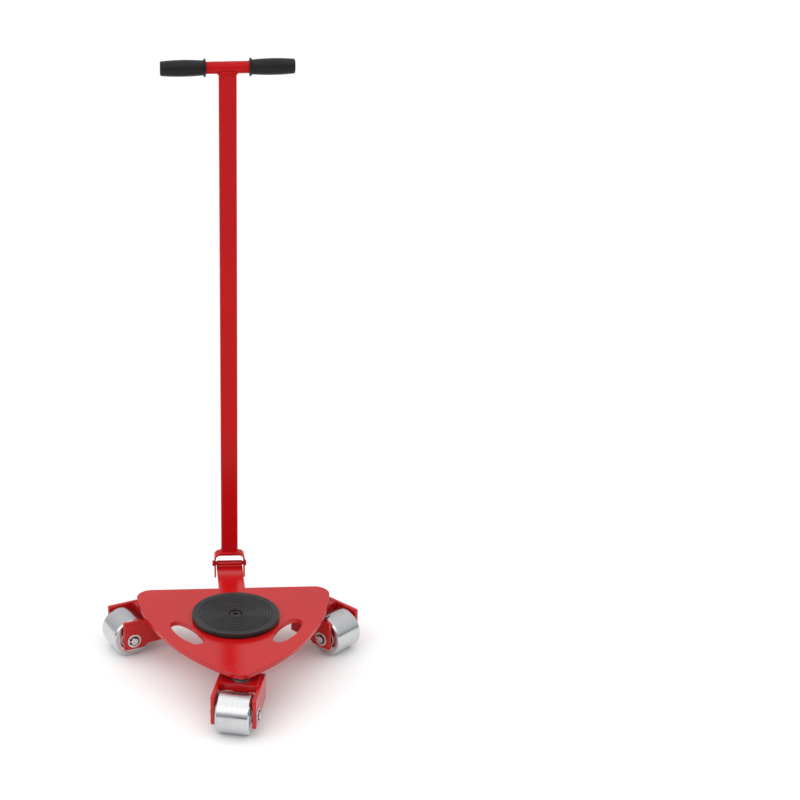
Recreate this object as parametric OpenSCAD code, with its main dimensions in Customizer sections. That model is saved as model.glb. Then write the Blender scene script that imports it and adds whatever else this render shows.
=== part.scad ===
// Three-caster machinery skate with a turntable pad and a folding T handle.
// Units: mm. Origin: turntable axis at floor level. +Z up, the handle is on the +Y side.

/* [Deck] */
// Circle through the three kingpins
pin_circle_r = 194; // [160:1:240]
// Radius of the three rounded corners
corner_r = 31; // [25:1:45]
// Radius of the two bulged sides
side_r = 460; // [400:5:900]
// Thickness of the deck plate
deck_t = 10; // [8:0.5:16]
// Length of a hand slot
slot_l = 103; // [80:1:124]
// Width of a hand slot
slot_w = 41; // [34:1:50]
// Slot centre, sideways from the turntable axis
slot_x = 100; // [80:1:120]
// Slot centre, forward of the turntable axis
slot_y = 56; // [40:1:70]

/* [Casters] */
// Roller diameter
roller_d = 80; // [60:1:100]
// Roller length
roller_l = 66; // [50:1:90]
// Axle diameter
axle_d = 15; // [12:0.5:20]
// Kingpin diameter
kingpin_d = 20; // [16:0.5:24]
// Gap between roller and kingpin
pin_gap = 10; // [8:0.5:20]
// Thickness of a fork ear
ear_t = 7.5; // [5:0.5:10]
// Thickness of the fork web
web_t = 15; // [10:0.5:18]
// Height of the swivel thrust bearing
bearing_h = 14; // [12:0.5:18]
// Direction the left caster trails
swing_left = 203; // [0:1:360]
// Direction the right caster trails
swing_right = 312; // [0:1:360]
// Direction the front caster trails
swing_front = 256; // [0:1:360]

/* [Turntable] */
// Diameter of the pad
pad_d = 176; // [140:1:220]
// Thickness of the steel disc
disc_t = 4.5; // [3:0.5:10]
// Thickness of the rubber pad
rubber_t = 5.5; // [4:0.5:12]
// Number of round grooves in the rubber
groove_n = 10; // [4:1:14]
// Diameter of the recess round the bolt
recess_d = 28; // [24:1:40]

/* [Handle] */
// Hinge axis, behind the turntable axis
hinge_y = 249; // [200:1:300]
// Hinge axis to the middle of the T bar
handle_l = 1073; // [700:1:1300]
// Width of the rectangular pole, sideways
pole_w = 35; // [25:0.5:45]
// Depth of the rectangular pole, front to back
pole_d = 20; // [16:0.5:35]
// Wall of the pole
pole_wall = 2.5; // [1.5:0.5:5]
// Diameter of the T bar tube
bar_d = 24; // [18:0.5:32]
// Overall length across the grips
bar_l = 262; // [220:1:400]
// Length of one grip
grip_l = 89; // [70:1:130]
// Width of the tongue strap
strap_w = 55; // [40:1:70]
// Thickness of the tongue strap
strap_t = 8; // [6:0.5:12]
// Diameter of the hinge bolt
hinge_d = 8; // [6:0.5:12]

/* [Fits] */
// Radial clearance of a running fit
run_fit = 0.05; // [0.02:0.01:0.1]
// Radial clearance of a bolt or axle in a plain hole
bolt_fit = 0.1; // [0.1:0.05:0.5]
// Gap between two faces that slide past each other
face_gap = 0.1; // [0.05:0.05:0.3]

/* [Hidden] */
$fn = 96;
eps = 0.01;

// caster heights and lengths
roller_r = roller_d / 2;
axle_r = axle_d / 2;
kingpin_r = kingpin_d / 2;
axle_z = roller_r;
trail = roller_r + kingpin_r + pin_gap;
web_top = axle_z + roller_r + 2;
web_bot = web_top - web_t;
web_clear = 3;
web_front = trail - sqrt(pow(roller_r + web_clear, 2) - pow(web_bot - axle_z, 2));
web_back = kingpin_r + 14;
ear_top = web_top + 1;
ear_bot = axle_z - 19;
ear_step = 7;
ear_nose = 21.5;
ear_heel = 23;
side_gap = 3.5;
ear_in = roller_l / 2 + side_gap;
ear_out = ear_in + ear_t;
weld_leg = 6;

// axle hardware, outward from an ear
washer_t = 1.8;
washer_r = axle_r * 1.95;
clip_t = 1.2;
clip_depth = 0.5;
clip_r = axle_r * 1.42;
clip_y = ear_out + washer_t + face_gap;
axle_end = clip_y + clip_t + 2;

// roller bearings
bearing_r = axle_r + 8.5;
bearing_w = 9;
roller_bore_r = bearing_r - 3;
roller_edge = 3;

// swivel thrust bearing
deck_bot = web_top + bearing_h;
deck_top = deck_bot + deck_t;
race_r = 2 * kingpin_r;
race_t = bearing_h * 0.3;
ball_pitch = kingpin_r * 1.5;
ball_r = bearing_h * 0.28;
ball_n = 9;
ball_z = web_top + bearing_h / 2;
cage_t = 2;

// swivel nut under the web
nut_af = 1.5 * kingpin_d;
nut_t = 14;
nut_top = web_bot - face_gap;
collar_t = 4;
collar_r = nut_af / 2 - 1.2;
nut_bot = nut_top - nut_t;
kingpin_bot = nut_bot - collar_t - 1;
weld_cap_r = kingpin_r + 1.5;
weld_cap_t = 0.4;

// caster places, order: left, right, front
pins = [[-pin_circle_r * cos(30), pin_circle_r / 2],
        [pin_circle_r * cos(30), pin_circle_r / 2],
        [0, -pin_circle_r]];
swings = [swing_left, swing_right, swing_front];

// deck outline
half_side = pin_circle_r * cos(30);
arc_reach = side_r - corner_r;
arc_back = sqrt(pow(arc_reach, 2) - pow(half_side, 2)) - pin_circle_r / 2;
arc_half = asin(half_side / arc_reach);
back_y = pin_circle_r / 2 + corner_r;

// hand slot: two end circles joined by two long arcs
slot_end_r = slot_w * 0.34;
slot_proud = 0.05;
slot_end_x = slot_l / 2 - slot_end_r;
slot_side_r = (pow(slot_end_x, 2) + pow(slot_w / 2, 2) - pow(slot_end_r, 2))
              / (slot_w - 2 * slot_end_r);
slot_side_y = slot_side_r - slot_w / 2;
slot_tip = slot_end_x * slot_side_r / (slot_side_r - slot_end_r);

// turntable
pad_r = pad_d / 2;
slip_t = 1.4;
slip_r = pad_r * 0.62;
slip_in = 14;
disc_bot = deck_top + slip_t + face_gap;
disc_top = disc_bot + disc_t;
pad_top = disc_top + rubber_t;
recess_r = recess_d / 2;
rim_w = 10;
groove_in = recess_r + 3;
groove_step = (pad_r - rim_w - groove_in) / groove_n;
groove_w = groove_step * 0.42;
groove_deep = 1.6;
shoulder_r = 8;
head_r = recess_r - 2.5;
head_t = 4.4;
socket_af = 8;
thread_r = 6;

// tongue and hinge
strap_top = deck_bot;
strap_lap = 40;
tube_r = hinge_d / 2 + 2;
tube_half = strap_w / 2 - 0.5;
hinge_z = strap_top + tube_r;
strap_end = hinge_y + 3;
strap_start = back_y - strap_lap;
bead = 5;

// yoke
yoke_t = 3.2;
yoke_in = tube_half + 2.3;
yoke_out = yoke_in + yoke_t;
yoke_half_d = pole_d / 2 + 2.5;
yoke_up = tube_r + 20.5;
yoke_down = tube_r + 22;
yoke_bend = 12;
bolt_head_r = hinge_d * 0.8;
bolt_head_t = 4;
hinge_nut_t = 3;

// pole and T bar
pole_corner = 4;
pole_bot = hinge_z + yoke_up;
bar_z = hinge_z + handle_l;
bar_r = bar_d / 2;
bar_wall = 2;
pole_top = bar_z - bar_r * 0.5;
grip_wall = 2.4;
grip_r = bar_r + grip_wall;
grip_mid_r = grip_r + 1.8;
grip_flange_r = bar_r + 6.2;
grip_flange_t = 4;
grip_cap_t = 3;
bar_half = bar_l / 2 - grip_cap_t;
grip_in = bar_l / 2 - grip_l;

// ---- helpers ----

// flat ring lying on z = 0
module ring(r_out, r_in, h) {
  difference() {
    cylinder(r = r_out, h = h);
    translate([0, 0, -1]) cylinder(r = r_in, h = h + 2);
  }
}

// regular hexagonal prism lying on z = 0
module hex_prism(af, h) {
  cylinder(r = af / 2 / cos(30), h = h, $fn = 6);
}

// rod along Y, centred, r and half length
module rod_y(r, half) {
  translate([0, half, 0]) rotate([90, 0, 0]) cylinder(r = r, h = 2 * half);
}

// rod along X, centred, r and half length
module rod_x(r, half) {
  translate([-half, 0, 0]) rotate([0, 90, 0]) cylinder(r = r, h = 2 * half);
}

// children placed at a kingpin and turned to the trail direction along +X
module at_caster(i) {
  translate([pins[i][0], pins[i][1], 0]) rotate([0, 0, swings[i]]) children();
}

// children placed at the axle, side = 1 or -1 turns them outward along Y
module at_axle(side) {
  translate([trail, 0, axle_z]) rotate([0, 0, side > 0 ? 0 : 180])
    rotate([-90, 0, 0]) children();
}

// ---- deck ----

// big disc that cuts the bulge of one side; a = direction of that side
module side_disc(a, h) {
  translate([arc_back * cos(a + 180), arc_back * sin(a + 180), 0])
    cylinder(r = side_r, h = h, $fn = 360);
}

// corner of the cut polygon on the bulged side a, at the tangent angle
function tangent_pt(a, t) = [arc_back * cos(a + 180) + side_r * cos(a + t),
                             arc_back * sin(a + 180) + side_r * sin(a + t)];

module deck_outline(h) {
  intersection() {
    side_disc(-30, h);
    side_disc(210, h);
    linear_extrude(height = h) polygon([
      [-half_side, back_y],
      tangent_pt(210, -arc_half),
      [-pin_circle_r * 1.4, -pin_circle_r * 0.8],
      tangent_pt(210, arc_half),
      tangent_pt(-30, -arc_half),
      [pin_circle_r * 1.4, -pin_circle_r * 0.8],
      tangent_pt(-30, arc_half),
      [half_side, back_y]
    ]);
  }
  for (p = pins)
    translate([p[0], p[1], 0]) cylinder(r = corner_r, h = h);
}

// oval slot body along X, centred
module oval(h) {
  intersection() {
    translate([0, slot_side_y, 0]) cylinder(r = slot_side_r, h = h, $fn = 240);
    translate([0, -slot_side_y, 0]) cylinder(r = slot_side_r, h = h, $fn = 240);
    translate([-slot_tip, -slot_w, 0]) cube([2 * slot_tip, 2 * slot_w, h]);
  }
  for (s = [-1, 1])
    translate([s * slot_end_x, 0, 0]) cylinder(r = slot_end_r + slot_proud, h = h);
}

module deck_plate() {
  color([0.72, 0.08, 0.08])
  translate([0, 0, deck_bot]) difference() {
    deck_outline(deck_t);
    for (s = [-1, 1])
      translate([s * slot_x, -slot_y, -1]) rotate([0, 0, s * 60]) oval(deck_t + 2);
    for (p = pins)
      translate([p[0], p[1], -1]) cylinder(r = kingpin_r, h = deck_t + 2);
    translate([0, 0, -1]) cylinder(r = thread_r, h = deck_t + 2);
  }
}

// kingpin: shank through deck, bearing and web, with a flat weld cap on the deck
module kingpin(i) {
  color([0.72, 0.08, 0.08])
  translate([pins[i][0], pins[i][1], 0]) {
    translate([0, 0, kingpin_bot])
      cylinder(r = kingpin_r, h = deck_top - kingpin_bot + weld_cap_t / 2);
    translate([0, 0, deck_top]) cylinder(r = weld_cap_r, h = weld_cap_t);
  }
}

module kingpin_left() { kingpin(0); }
module kingpin_right() { kingpin(1); }
module kingpin_front() { kingpin(2); }

// grooved bearing washer, groove side up at z = race_t
module race() {
  difference() {
    ring(race_r, kingpin_r + run_fit, race_t);
    translate([0, 0, bearing_h / 2])
      rotate_extrude() translate([ball_pitch, 0]) circle(r = ball_r + run_fit, $fn = 48);
  }
}

module upper_races() {
  color([0.7, 0.7, 0.72])
  for (p = pins)
    translate([p[0], p[1], deck_bot]) rotate([180, 0, 0]) race();
}

module swivel_nuts() {
  color([0.08, 0.08, 0.09])
  for (p = pins)
    translate([p[0], p[1], nut_bot]) difference() {
      hex_prism(nut_af, nut_t);
      translate([0, 0, -1]) cylinder(r = kingpin_r, h = nut_t + 2);
    }
}

module swivel_collars() {
  color([0.75, 0.75, 0.77])
  for (p = pins)
    translate([p[0], p[1], nut_bot - collar_t]) ring(collar_r, kingpin_r, collar_t);
}

// shouldered bolt that the turntable runs on
module turntable_bolt() {
  color([0.15, 0.15, 0.16])
  difference() {
    union() {
      translate([0, 0, disc_top + face_gap]) cylinder(r = head_r, h = head_t);
      translate([0, 0, deck_top])
        cylinder(r = shoulder_r, h = disc_top + face_gap - deck_top + 1);
      translate([0, 0, deck_bot + 2]) cylinder(r = thread_r, h = deck_t);
    }
    translate([0, 0, disc_top + face_gap + 1]) hex_prism(socket_af, head_t);
  }
}

module slip_ring() {
  color([0.75, 0.6, 0.3])
  translate([0, 0, deck_top]) ring(slip_r, slip_in, slip_t);
}

// ---- turntable ----

module turntable_disc() {
  color([0.12, 0.12, 0.13])
  translate([0, 0, disc_bot]) ring(pad_r, shoulder_r + run_fit, disc_t);
}

module turntable_pad() {
  color([0.1, 0.1, 0.11])
  translate([0, 0, disc_top]) difference() {
    ring(pad_r, recess_r, rubber_t);
    for (k = [0 : groove_n - 1])
      translate([0, 0, rubber_t - groove_deep])
        ring(groove_in + k * groove_step + groove_w, groove_in + k * groove_step,
             groove_deep + 1);
  }
}

// ---- tongue ----

module tongue_strap() {
  color([0.72, 0.08, 0.08])
  translate([-strap_w / 2, strap_start, strap_top - strap_t])
    cube([strap_w, strap_end - strap_start, strap_t]);
}

// triangular bead along X; p = [y, z] of its corner, a and b = signed legs
module bead_x(p, a, b, half) {
  translate([-half, 0, 0]) rotate([90, 0, 90])
    linear_extrude(height = 2 * half)
      polygon([p, [p[0] + a, p[1]], [p[0], p[1] + b]]);
}

module tongue_weld() {
  color([0.66, 0.07, 0.07]) {
    bead_x([back_y, strap_top], bead, bead, strap_w / 2);
    bead_x([strap_start, strap_top], -bead, -bead, strap_w / 2);
    difference() {
      bead_x([hinge_y - 2.2, strap_top], -bead - 1, bead, strap_w / 2);
      translate([0, hinge_y, hinge_z]) rod_x(tube_r, strap_w);
    }
  }
}

module hinge_tube() {
  color([0.72, 0.08, 0.08])
  translate([0, hinge_y, hinge_z]) difference() {
    rod_x(tube_r, tube_half);
    rod_x(hinge_d / 2 + run_fit, tube_half + 1);
  }
}

// ---- casters ----

// side view of an ear: long plate with a deeper nose round the axle
module ear_plate(side) {
  y0 = side > 0 ? ear_in : -ear_out;
  difference() {
    translate([0, y0 + ear_t, 0]) rotate([90, 0, 0])
      linear_extrude(height = ear_t) polygon([
        [-web_back, ear_top],
        [-web_back, ear_bot + ear_step],
        [trail - ear_heel - ear_step, ear_bot + ear_step],
        [trail - ear_heel, ear_bot],
        [trail + ear_nose, ear_bot],
        [trail + ear_nose, ear_top]
      ]);
    translate([trail, 0, axle_z]) rod_y(axle_r + bolt_fit, ear_out + 1);
  }
}

// weld fillet under the web, along X, against one ear
module fork_fillet(side) {
  translate([-web_back, side * (ear_in - weld_leg), web_bot])
    rotate([90, 0, 90])
      linear_extrude(height = web_back + web_front)
        polygon([[0, 0.5], [side * (weld_leg + 0.5), 0.5],
                 [side * (weld_leg + 0.5), -weld_leg], [side * weld_leg, -weld_leg]]);
}

module fork(i) {
  color([0.72, 0.08, 0.08])
  at_caster(i) difference() {
    union() {
      translate([-web_back, -ear_in - eps, web_bot])
        cube([web_back + web_front, 2 * (ear_in + eps), web_t]);
      for (s = [-1, 1]) {
        ear_plate(s);
        fork_fillet(s);
      }
    }
    translate([0, 0, web_bot - 1]) cylinder(r = kingpin_r + run_fit, h = web_t + 2);
  }
}

module lower_race(i) {
  color([0.7, 0.7, 0.72])
  at_caster(i) translate([0, 0, web_top]) race();
}

// balls with the ring that keeps them apart
module ball_cage(i) {
  color([0.8, 0.8, 0.82])
  at_caster(i) translate([0, 0, ball_z]) {
    difference() {
      translate([0, 0, -cage_t / 2])
        ring(race_r - 1.5, kingpin_r + 1.5, cage_t);
      for (k = [0 : ball_n - 1]) rotate([0, 0, k * 360 / ball_n])
        translate([ball_pitch, 0, -cage_t]) cylinder(r = ball_r - 0.3, h = 2 * cage_t);
    }
    for (k = [0 : ball_n - 1]) rotate([0, 0, k * 360 / ball_n])
      translate([ball_pitch, 0, 0]) sphere(r = ball_r, $fn = 32);
  }
}

module axle(i) {
  color([0.72, 0.72, 0.74])
  at_caster(i) translate([trail, 0, axle_z]) difference() {
    rod_y(axle_r, axle_end);
    for (s = [-1, 1])
      translate([0, s > 0 ? clip_y + clip_t : -clip_y, 0]) rotate([90, 0, 0])
        ring(axle_r + 1, axle_r - clip_depth, clip_t);
  }
}

module axle_washers(i) {
  color([0.8, 0.8, 0.82])
  at_caster(i) for (s = [-1, 1])
    at_axle(s) translate([0, 0, ear_out])
      ring(washer_r, axle_r + bolt_fit, washer_t);
}

// open spring rings in the axle grooves
module circlips(i) {
  color([0.1, 0.1, 0.11])
  at_caster(i) for (s = [-1, 1])
    at_axle(s) translate([0, 0, clip_y]) difference() {
      ring(clip_r, axle_r - clip_depth, clip_t);
      translate([0, -1.5, -1]) cube([clip_r + 1, 3, clip_t + 2]);
    }
}

module spacers(i) {
  color([0.6, 0.6, 0.62])
  at_caster(i) for (s = [-1, 1])
    at_axle(s) translate([0, 0, roller_l / 2 + face_gap])
      ring(axle_r + 3.2, axle_r + bolt_fit, side_gap - face_gap);
}

// ---- rollers ----

module roller(i) {
  color([0.78, 0.78, 0.8])
  at_caster(i) translate([trail, 0, axle_z]) rotate([90, 0, 0])
    rotate_extrude($fn = 120) polygon([
      [roller_bore_r, -roller_l / 2 + bearing_w],
      [bearing_r, -roller_l / 2 + bearing_w],
      [bearing_r, -roller_l / 2],
      [roller_r - roller_edge, -roller_l / 2],
      [roller_r, -roller_l / 2 + roller_edge],
      [roller_r, roller_l / 2 - roller_edge],
      [roller_r - roller_edge, roller_l / 2],
      [bearing_r, roller_l / 2],
      [bearing_r, roller_l / 2 - bearing_w],
      [roller_bore_r, roller_l / 2 - bearing_w]
    ]);
}

// shielded ball bearing, one solid ring with a recess in each face
module bearing_ring() {
  difference() {
    ring(bearing_r, axle_r + run_fit, bearing_w);
    for (z = [-1, bearing_w - 0.6])
      translate([0, 0, z]) ring(bearing_r - 2, axle_r + 2.2, 1.6);
  }
}

module roller_bearings(i) {
  color([0.6, 0.6, 0.62])
  at_caster(i) for (s = [-1, 1])
    at_axle(s) translate([0, 0, roller_l / 2 - bearing_w]) bearing_ring();
}

module fork_left() { fork(0); }
module lower_race_left() { lower_race(0); }
module ball_cage_left() { ball_cage(0); }
module axle_left() { axle(0); }
module axle_washers_left() { axle_washers(0); }
module circlips_left() { circlips(0); }
module spacers_left() { spacers(0); }
module roller_left() { roller(0); }
module roller_bearings_left() { roller_bearings(0); }

module fork_right() { fork(1); }
module lower_race_right() { lower_race(1); }
module ball_cage_right() { ball_cage(1); }
module axle_right() { axle(1); }
module axle_washers_right() { axle_washers(1); }
module circlips_right() { circlips(1); }
module spacers_right() { spacers(1); }
module roller_right() { roller(1); }
module roller_bearings_right() { roller_bearings(1); }

module fork_front() { fork(2); }
module lower_race_front() { lower_race(2); }
module ball_cage_front() { ball_cage(2); }
module axle_front() { axle(2); }
module axle_washers_front() { axle_washers(2); }
module circlips_front() { circlips(2); }
module spacers_front() { spacers(2); }
module roller_front() { roller(2); }
module roller_bearings_front() { roller_bearings(2); }

// ---- handle ----

// solid arch in the XZ plane with rounded top corners, d deep along Y
module arch(half, top, bottom, bend, d) {
  translate([-half, -d / 2, bottom]) cube([2 * half, d, top - bend - bottom]);
  translate([-half + bend, -d / 2, bottom]) cube([2 * (half - bend), d, top - bottom]);
  for (s = [-1, 1])
    translate([s * (half - bend), 0, top - bend]) rod_y(bend, d / 2);
}

module yoke() {
  color([0.72, 0.08, 0.08])
  translate([0, hinge_y, hinge_z]) difference() {
    arch(yoke_out, yoke_up, -yoke_down, yoke_bend, 2 * yoke_half_d);
    arch(yoke_in, yoke_up - yoke_t, -yoke_down - 1, yoke_bend - yoke_t,
         2 * yoke_half_d + 2);
    rod_x(hinge_d / 2 + bolt_fit, yoke_out + 1);
  }
}

module hinge_bolt() {
  color([0.72, 0.72, 0.74])
  translate([0, hinge_y, hinge_z]) {
    translate([-yoke_out - 1, 0, 0]) rotate([0, 90, 0])
      cylinder(r = hinge_d / 2, h = 2 * yoke_out + hinge_nut_t + 1.5);
    translate([-yoke_out - bolt_head_t, 0, 0]) rotate([0, 90, 0])
      cylinder(r = bolt_head_r, h = bolt_head_t);
  }
}

module hinge_nut() {
  color([0.72, 0.72, 0.74])
  translate([yoke_out, hinge_y, hinge_z]) rotate([0, 90, 0]) difference() {
    hex_prism(hinge_d * 1.6, hinge_nut_t);
    translate([0, 0, -1]) cylinder(r = hinge_d / 2, h = hinge_nut_t + 2);
  }
}

// rectangular bar with round corners standing on z = 0
module flat_bar(w, d, c, h) {
  translate([-w / 2 + c, -d / 2, 0]) cube([w - 2 * c, d, h]);
  translate([-w / 2, -d / 2 + c, 0]) cube([w, d - 2 * c, h]);
  for (x = [-1, 1], y = [-1, 1])
    translate([x * (w / 2 - c), y * (d / 2 - c), 0]) cylinder(r = c, h = h);
}

// rectangular tube whose top end is cut to fit the T bar
module pole() {
  color([0.72, 0.08, 0.08])
  translate([0, hinge_y, 0]) difference() {
    translate([0, 0, pole_bot]) flat_bar(pole_w, pole_d, pole_corner, pole_top - pole_bot);
    translate([0, 0, pole_bot - 1])
      flat_bar(pole_w - 2 * pole_wall, pole_d - 2 * pole_wall, pole_corner - pole_wall,
               pole_top - pole_bot + 2);
    translate([0, 0, bar_z]) rod_x(bar_r, pole_w);
  }
}

module t_bar() {
  color([0.72, 0.08, 0.08])
  translate([0, hinge_y, bar_z]) difference() {
    rod_x(bar_r, bar_half);
    rod_x(bar_r - bar_wall, bar_half + 1);
  }
}

// hand grip on the +X half of the bar: inner flange, swollen sleeve and closed end
module grip() {
  translate([0, hinge_y, bar_z]) rotate([0, 90, 0]) rotate_extrude() polygon([
    [bar_r, grip_in],
    [grip_r + 0.6, grip_in],
    [grip_flange_r, grip_in + 1.6],
    [grip_flange_r, grip_in + grip_flange_t],
    [grip_r, grip_in + grip_flange_t + 1.2],
    [grip_mid_r, grip_in + grip_l * 0.42],
    [grip_mid_r, grip_in + grip_l * 0.62],
    [grip_r, bar_l / 2 - 2],
    [grip_r - 2, bar_l / 2],
    [0, bar_l / 2],
    [0, bar_half],
    [bar_r, bar_half]
  ]);
}

module grip_right() {
  color([0.07, 0.07, 0.08]) grip();
}

module grip_left() {
  color([0.07, 0.07, 0.08]) mirror([1, 0, 0]) grip();
}

// ---- assembly ----

deck_plate();
kingpin_left();
kingpin_right();
kingpin_front();
upper_races();
swivel_nuts();
swivel_collars();
turntable_bolt();
slip_ring();
tongue_strap();
tongue_weld();
hinge_tube();
turntable_disc();
turntable_pad();
fork_left();
lower_race_left();
ball_cage_left();
axle_left();
axle_washers_left();
circlips_left();
spacers_left();
roller_left();
roller_bearings_left();
fork_right();
lower_race_right();
ball_cage_right();
axle_right();
axle_washers_right();
circlips_right();
spacers_right();
roller_right();
roller_bearings_right();
fork_front();
lower_race_front();
ball_cage_front();
axle_front();
axle_washers_front();
circlips_front();
spacers_front();
roller_front();
roller_bearings_front();
yoke();
hinge_bolt();
hinge_nut();
pole();
t_bar();
grip_left();
grip_right();
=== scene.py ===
"""Surfaces, finishes, light and camera of a three-caster machinery skate, round its CAD frame."""

import math

import bpy
import numpy as np
from bpy.props import FloatProperty, FloatVectorProperty, IntProperty, PointerProperty
from mathutils import Matrix, Vector
from mathutils.geometry import tessellate_polygon


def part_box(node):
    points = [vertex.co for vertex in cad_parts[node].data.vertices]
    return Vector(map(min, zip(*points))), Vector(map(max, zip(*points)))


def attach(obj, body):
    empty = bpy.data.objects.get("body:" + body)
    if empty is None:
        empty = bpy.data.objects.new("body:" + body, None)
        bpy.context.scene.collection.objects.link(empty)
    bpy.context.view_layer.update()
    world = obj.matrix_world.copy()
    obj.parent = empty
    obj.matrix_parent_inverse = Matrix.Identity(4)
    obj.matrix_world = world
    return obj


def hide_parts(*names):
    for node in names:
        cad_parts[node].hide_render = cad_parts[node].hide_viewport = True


bl_info = {
    "name": "Machinery Skate",
    "version": (1, 0, 0),
    "blender": (4, 5, 0),
    "location": "View3D > Sidebar > Skate",
    "description": "Builds the pieces and finishes of a machinery skate with a T pull handle",
    "category": "Add Mesh",
}

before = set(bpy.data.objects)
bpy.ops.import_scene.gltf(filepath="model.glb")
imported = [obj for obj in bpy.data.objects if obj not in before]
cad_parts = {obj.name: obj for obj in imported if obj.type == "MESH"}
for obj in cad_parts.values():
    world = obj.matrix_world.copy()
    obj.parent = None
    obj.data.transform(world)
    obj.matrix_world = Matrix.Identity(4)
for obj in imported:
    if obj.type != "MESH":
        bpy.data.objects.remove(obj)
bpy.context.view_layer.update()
CASTERS = ("left", "right", "front")
TURN = 2 * math.pi

# fixed sizes that several pieces share, in metres
KINGPIN_R = 0.010
RACE_BORE_R = 0.01005
BALL_R = 0.00392
BALL_CIRCLE_R = 0.015
BALL_COUNT = 9
FORK_REAR = -0.024
AXLE_R = 0.0075
AXLE_HOLE_R = 0.0076
AXLE_GROOVE_R = 0.0070
BEARING_W = 0.009
WASHER_T = 0.0018
BAR_R = 0.012


# ---- places read from the frame ----

def low_high(node):
    """Lowest and highest corner of a CAD node, as arrays."""
    low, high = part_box(node)
    return np.array(low), np.array(high)


def middle(node):
    """Centre of a CAD node's box."""
    low, high = low_high(node)
    return (low + high) / 2


DECK_LOW, DECK_HIGH = low_high("deck_plate")
PINS = {side: middle("kingpin_" + side) for side in CASTERS}
ROLLERS = {side: middle("roller_" + side) for side in CASTERS}
TRAIL = float(np.linalg.norm((ROLLERS["front"] - PINS["front"])[:2]))
AXLE_Z = float(ROLLERS["front"][2])
HINGE = middle("hinge_tube")
BAR = middle("t_bar")
PAD_R = float(low_high("turntable_pad")[1][0])


def caster_frame(side):
    """Turns caster space, kingpin at the origin and roller along +X, into the part's frame."""
    pin, roller = PINS[side], ROLLERS[side]
    swing = math.atan2(roller[1] - pin[1], roller[0] - pin[0])
    return Matrix.Translation((pin[0], pin[1], 0)) @ Matrix.Rotation(swing, 4, "Z")


# ---- sizes and colours a user would change ----

def length(name, description, default):
    """A size in metres that the panel shows."""
    return FloatProperty(name=name, description=description, default=default, min=0.0,
                         unit="LENGTH", precision=4)


def colour(name, description, default):
    """A linear colour that the panel shows."""
    return FloatVectorProperty(name=name, description=description, default=default,
                               size=3, min=0.0, max=1.0, subtype="COLOR")


class SkateSizes(bpy.types.PropertyGroup):
    """Sizes of the surfaces, in metres."""
    side_r: length("Side radius", "Radius of the deck's two bulged sides", 0.460)
    corner_r: length("Corner radius", "Radius of the deck's corners",
                     float(DECK_HIGH[1] - PINS["left"][1]))
    deck_rim: length("Deck rim", "Rounding of the deck's edges", 0.0011)
    slot_l: length("Slot length", "Length of a hand slot", 0.103)
    slot_w: length("Slot width", "Width of a hand slot", 0.041)
    slot_x: length("Slot side place", "Slot centre from the turntable axis, sideways", 0.100)
    slot_y: length("Slot front place", "Slot centre from the turntable axis, forward", 0.056)
    grooves: IntProperty(name="Grooves", description="Round grooves in the rubber pad",
                         default=10, min=1, max=20)
    groove_deep: length("Groove depth", "Depth of a groove in the rubber", 0.0016)
    ear_t: length("Ear thickness", "Thickness of a fork ear", 0.0075)
    ear_in: length("Ear gap", "Fork centre plane to the inside of an ear", 0.0365)
    ear_rim: length("Ear rim", "Rounding of the fork's edges", 0.0008)
    web_t: length("Web thickness", "Thickness of the fork's top plate", 0.015)
    roller_l: length("Roller length", "Length of a roller", 0.066)
    roller_edge: length("Roller edge", "Broken edge of a roller", 0.003)
    yoke_t: length("Yoke thickness", "Thickness of the yoke's flat bar", 0.0032)
    pole_w: length("Pole width", "Width of the rectangular pole, sideways", 0.035)
    pole_d: length("Pole depth", "Depth of the rectangular pole, front to back", 0.020)
    pole_corner: length("Pole corner", "Corner radius of the pole", 0.004)
    bead_pitch: length("Weld ripple", "Distance between the ripples of a weld bead", 0.0026)


class SkateColours(bpy.types.PropertyGroup):
    """Base colours of the finishes, linear."""
    paint: colour("Paint", "Gloss red of the painted steel", (0.50, 0.0050, 0.0060))
    roller: colour("Roller steel", "Ground steel of the rollers", (0.60, 0.605, 0.615))
    bright: colour("Bright steel", "Zinc plated steel", (0.70, 0.70, 0.69))
    black: colour("Black steel", "Oiled black steel", (0.022, 0.022, 0.025))
    rubber: colour("Rubber", "Pad and grips", (0.012, 0.012, 0.013))
    bronze: colour("Bronze", "Slip ring under the turntable", (0.50, 0.31, 0.12))
    floor: colour("Floor", "Studio floor and backdrop", (0.93, 0.93, 0.93))


# ---- shells: points, faces and two values a point ----

def shell(points, quads, tris=None, edge=None, lay=None):
    """A mesh as arrays. edge is 1 on a rounded rim, lay is the distance along the profile."""
    points = np.asarray(points, float).reshape(-1, 3)
    count = len(points)
    return {
        "v": points,
        "q": np.asarray(quads, int).reshape(-1, 4),
        "t": np.zeros((0, 3), int) if tris is None else np.asarray(tris, int).reshape(-1, 3),
        "edge": np.zeros(count) if edge is None else np.asarray(edge, float).ravel(),
        "lay": points[:, 2].copy() if lay is None else np.asarray(lay, float).ravel(),
    }


def moved(s, matrix):
    """The shell after a 4 x 4 matrix: rotation times point plus translation."""
    m = np.array(matrix)
    out = dict(s)
    out["v"] = s["v"] @ m[:3, :3].T + m[:3, 3]
    return out


def joined(shells):
    """All shells as one, each one's corner numbers raised by the points before it."""
    starts = np.cumsum([0] + [len(s["v"]) for s in shells[:-1]])
    return {
        "v": np.concatenate([s["v"] for s in shells]),
        "q": np.concatenate([s["q"] + o for s, o in zip(shells, starts)]),
        "t": np.concatenate([s["t"] + o for s, o in zip(shells, starts)]),
        "edge": np.concatenate([s["edge"] for s in shells]),
        "lay": np.concatenate([s["lay"] for s in shells]),
    }


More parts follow.
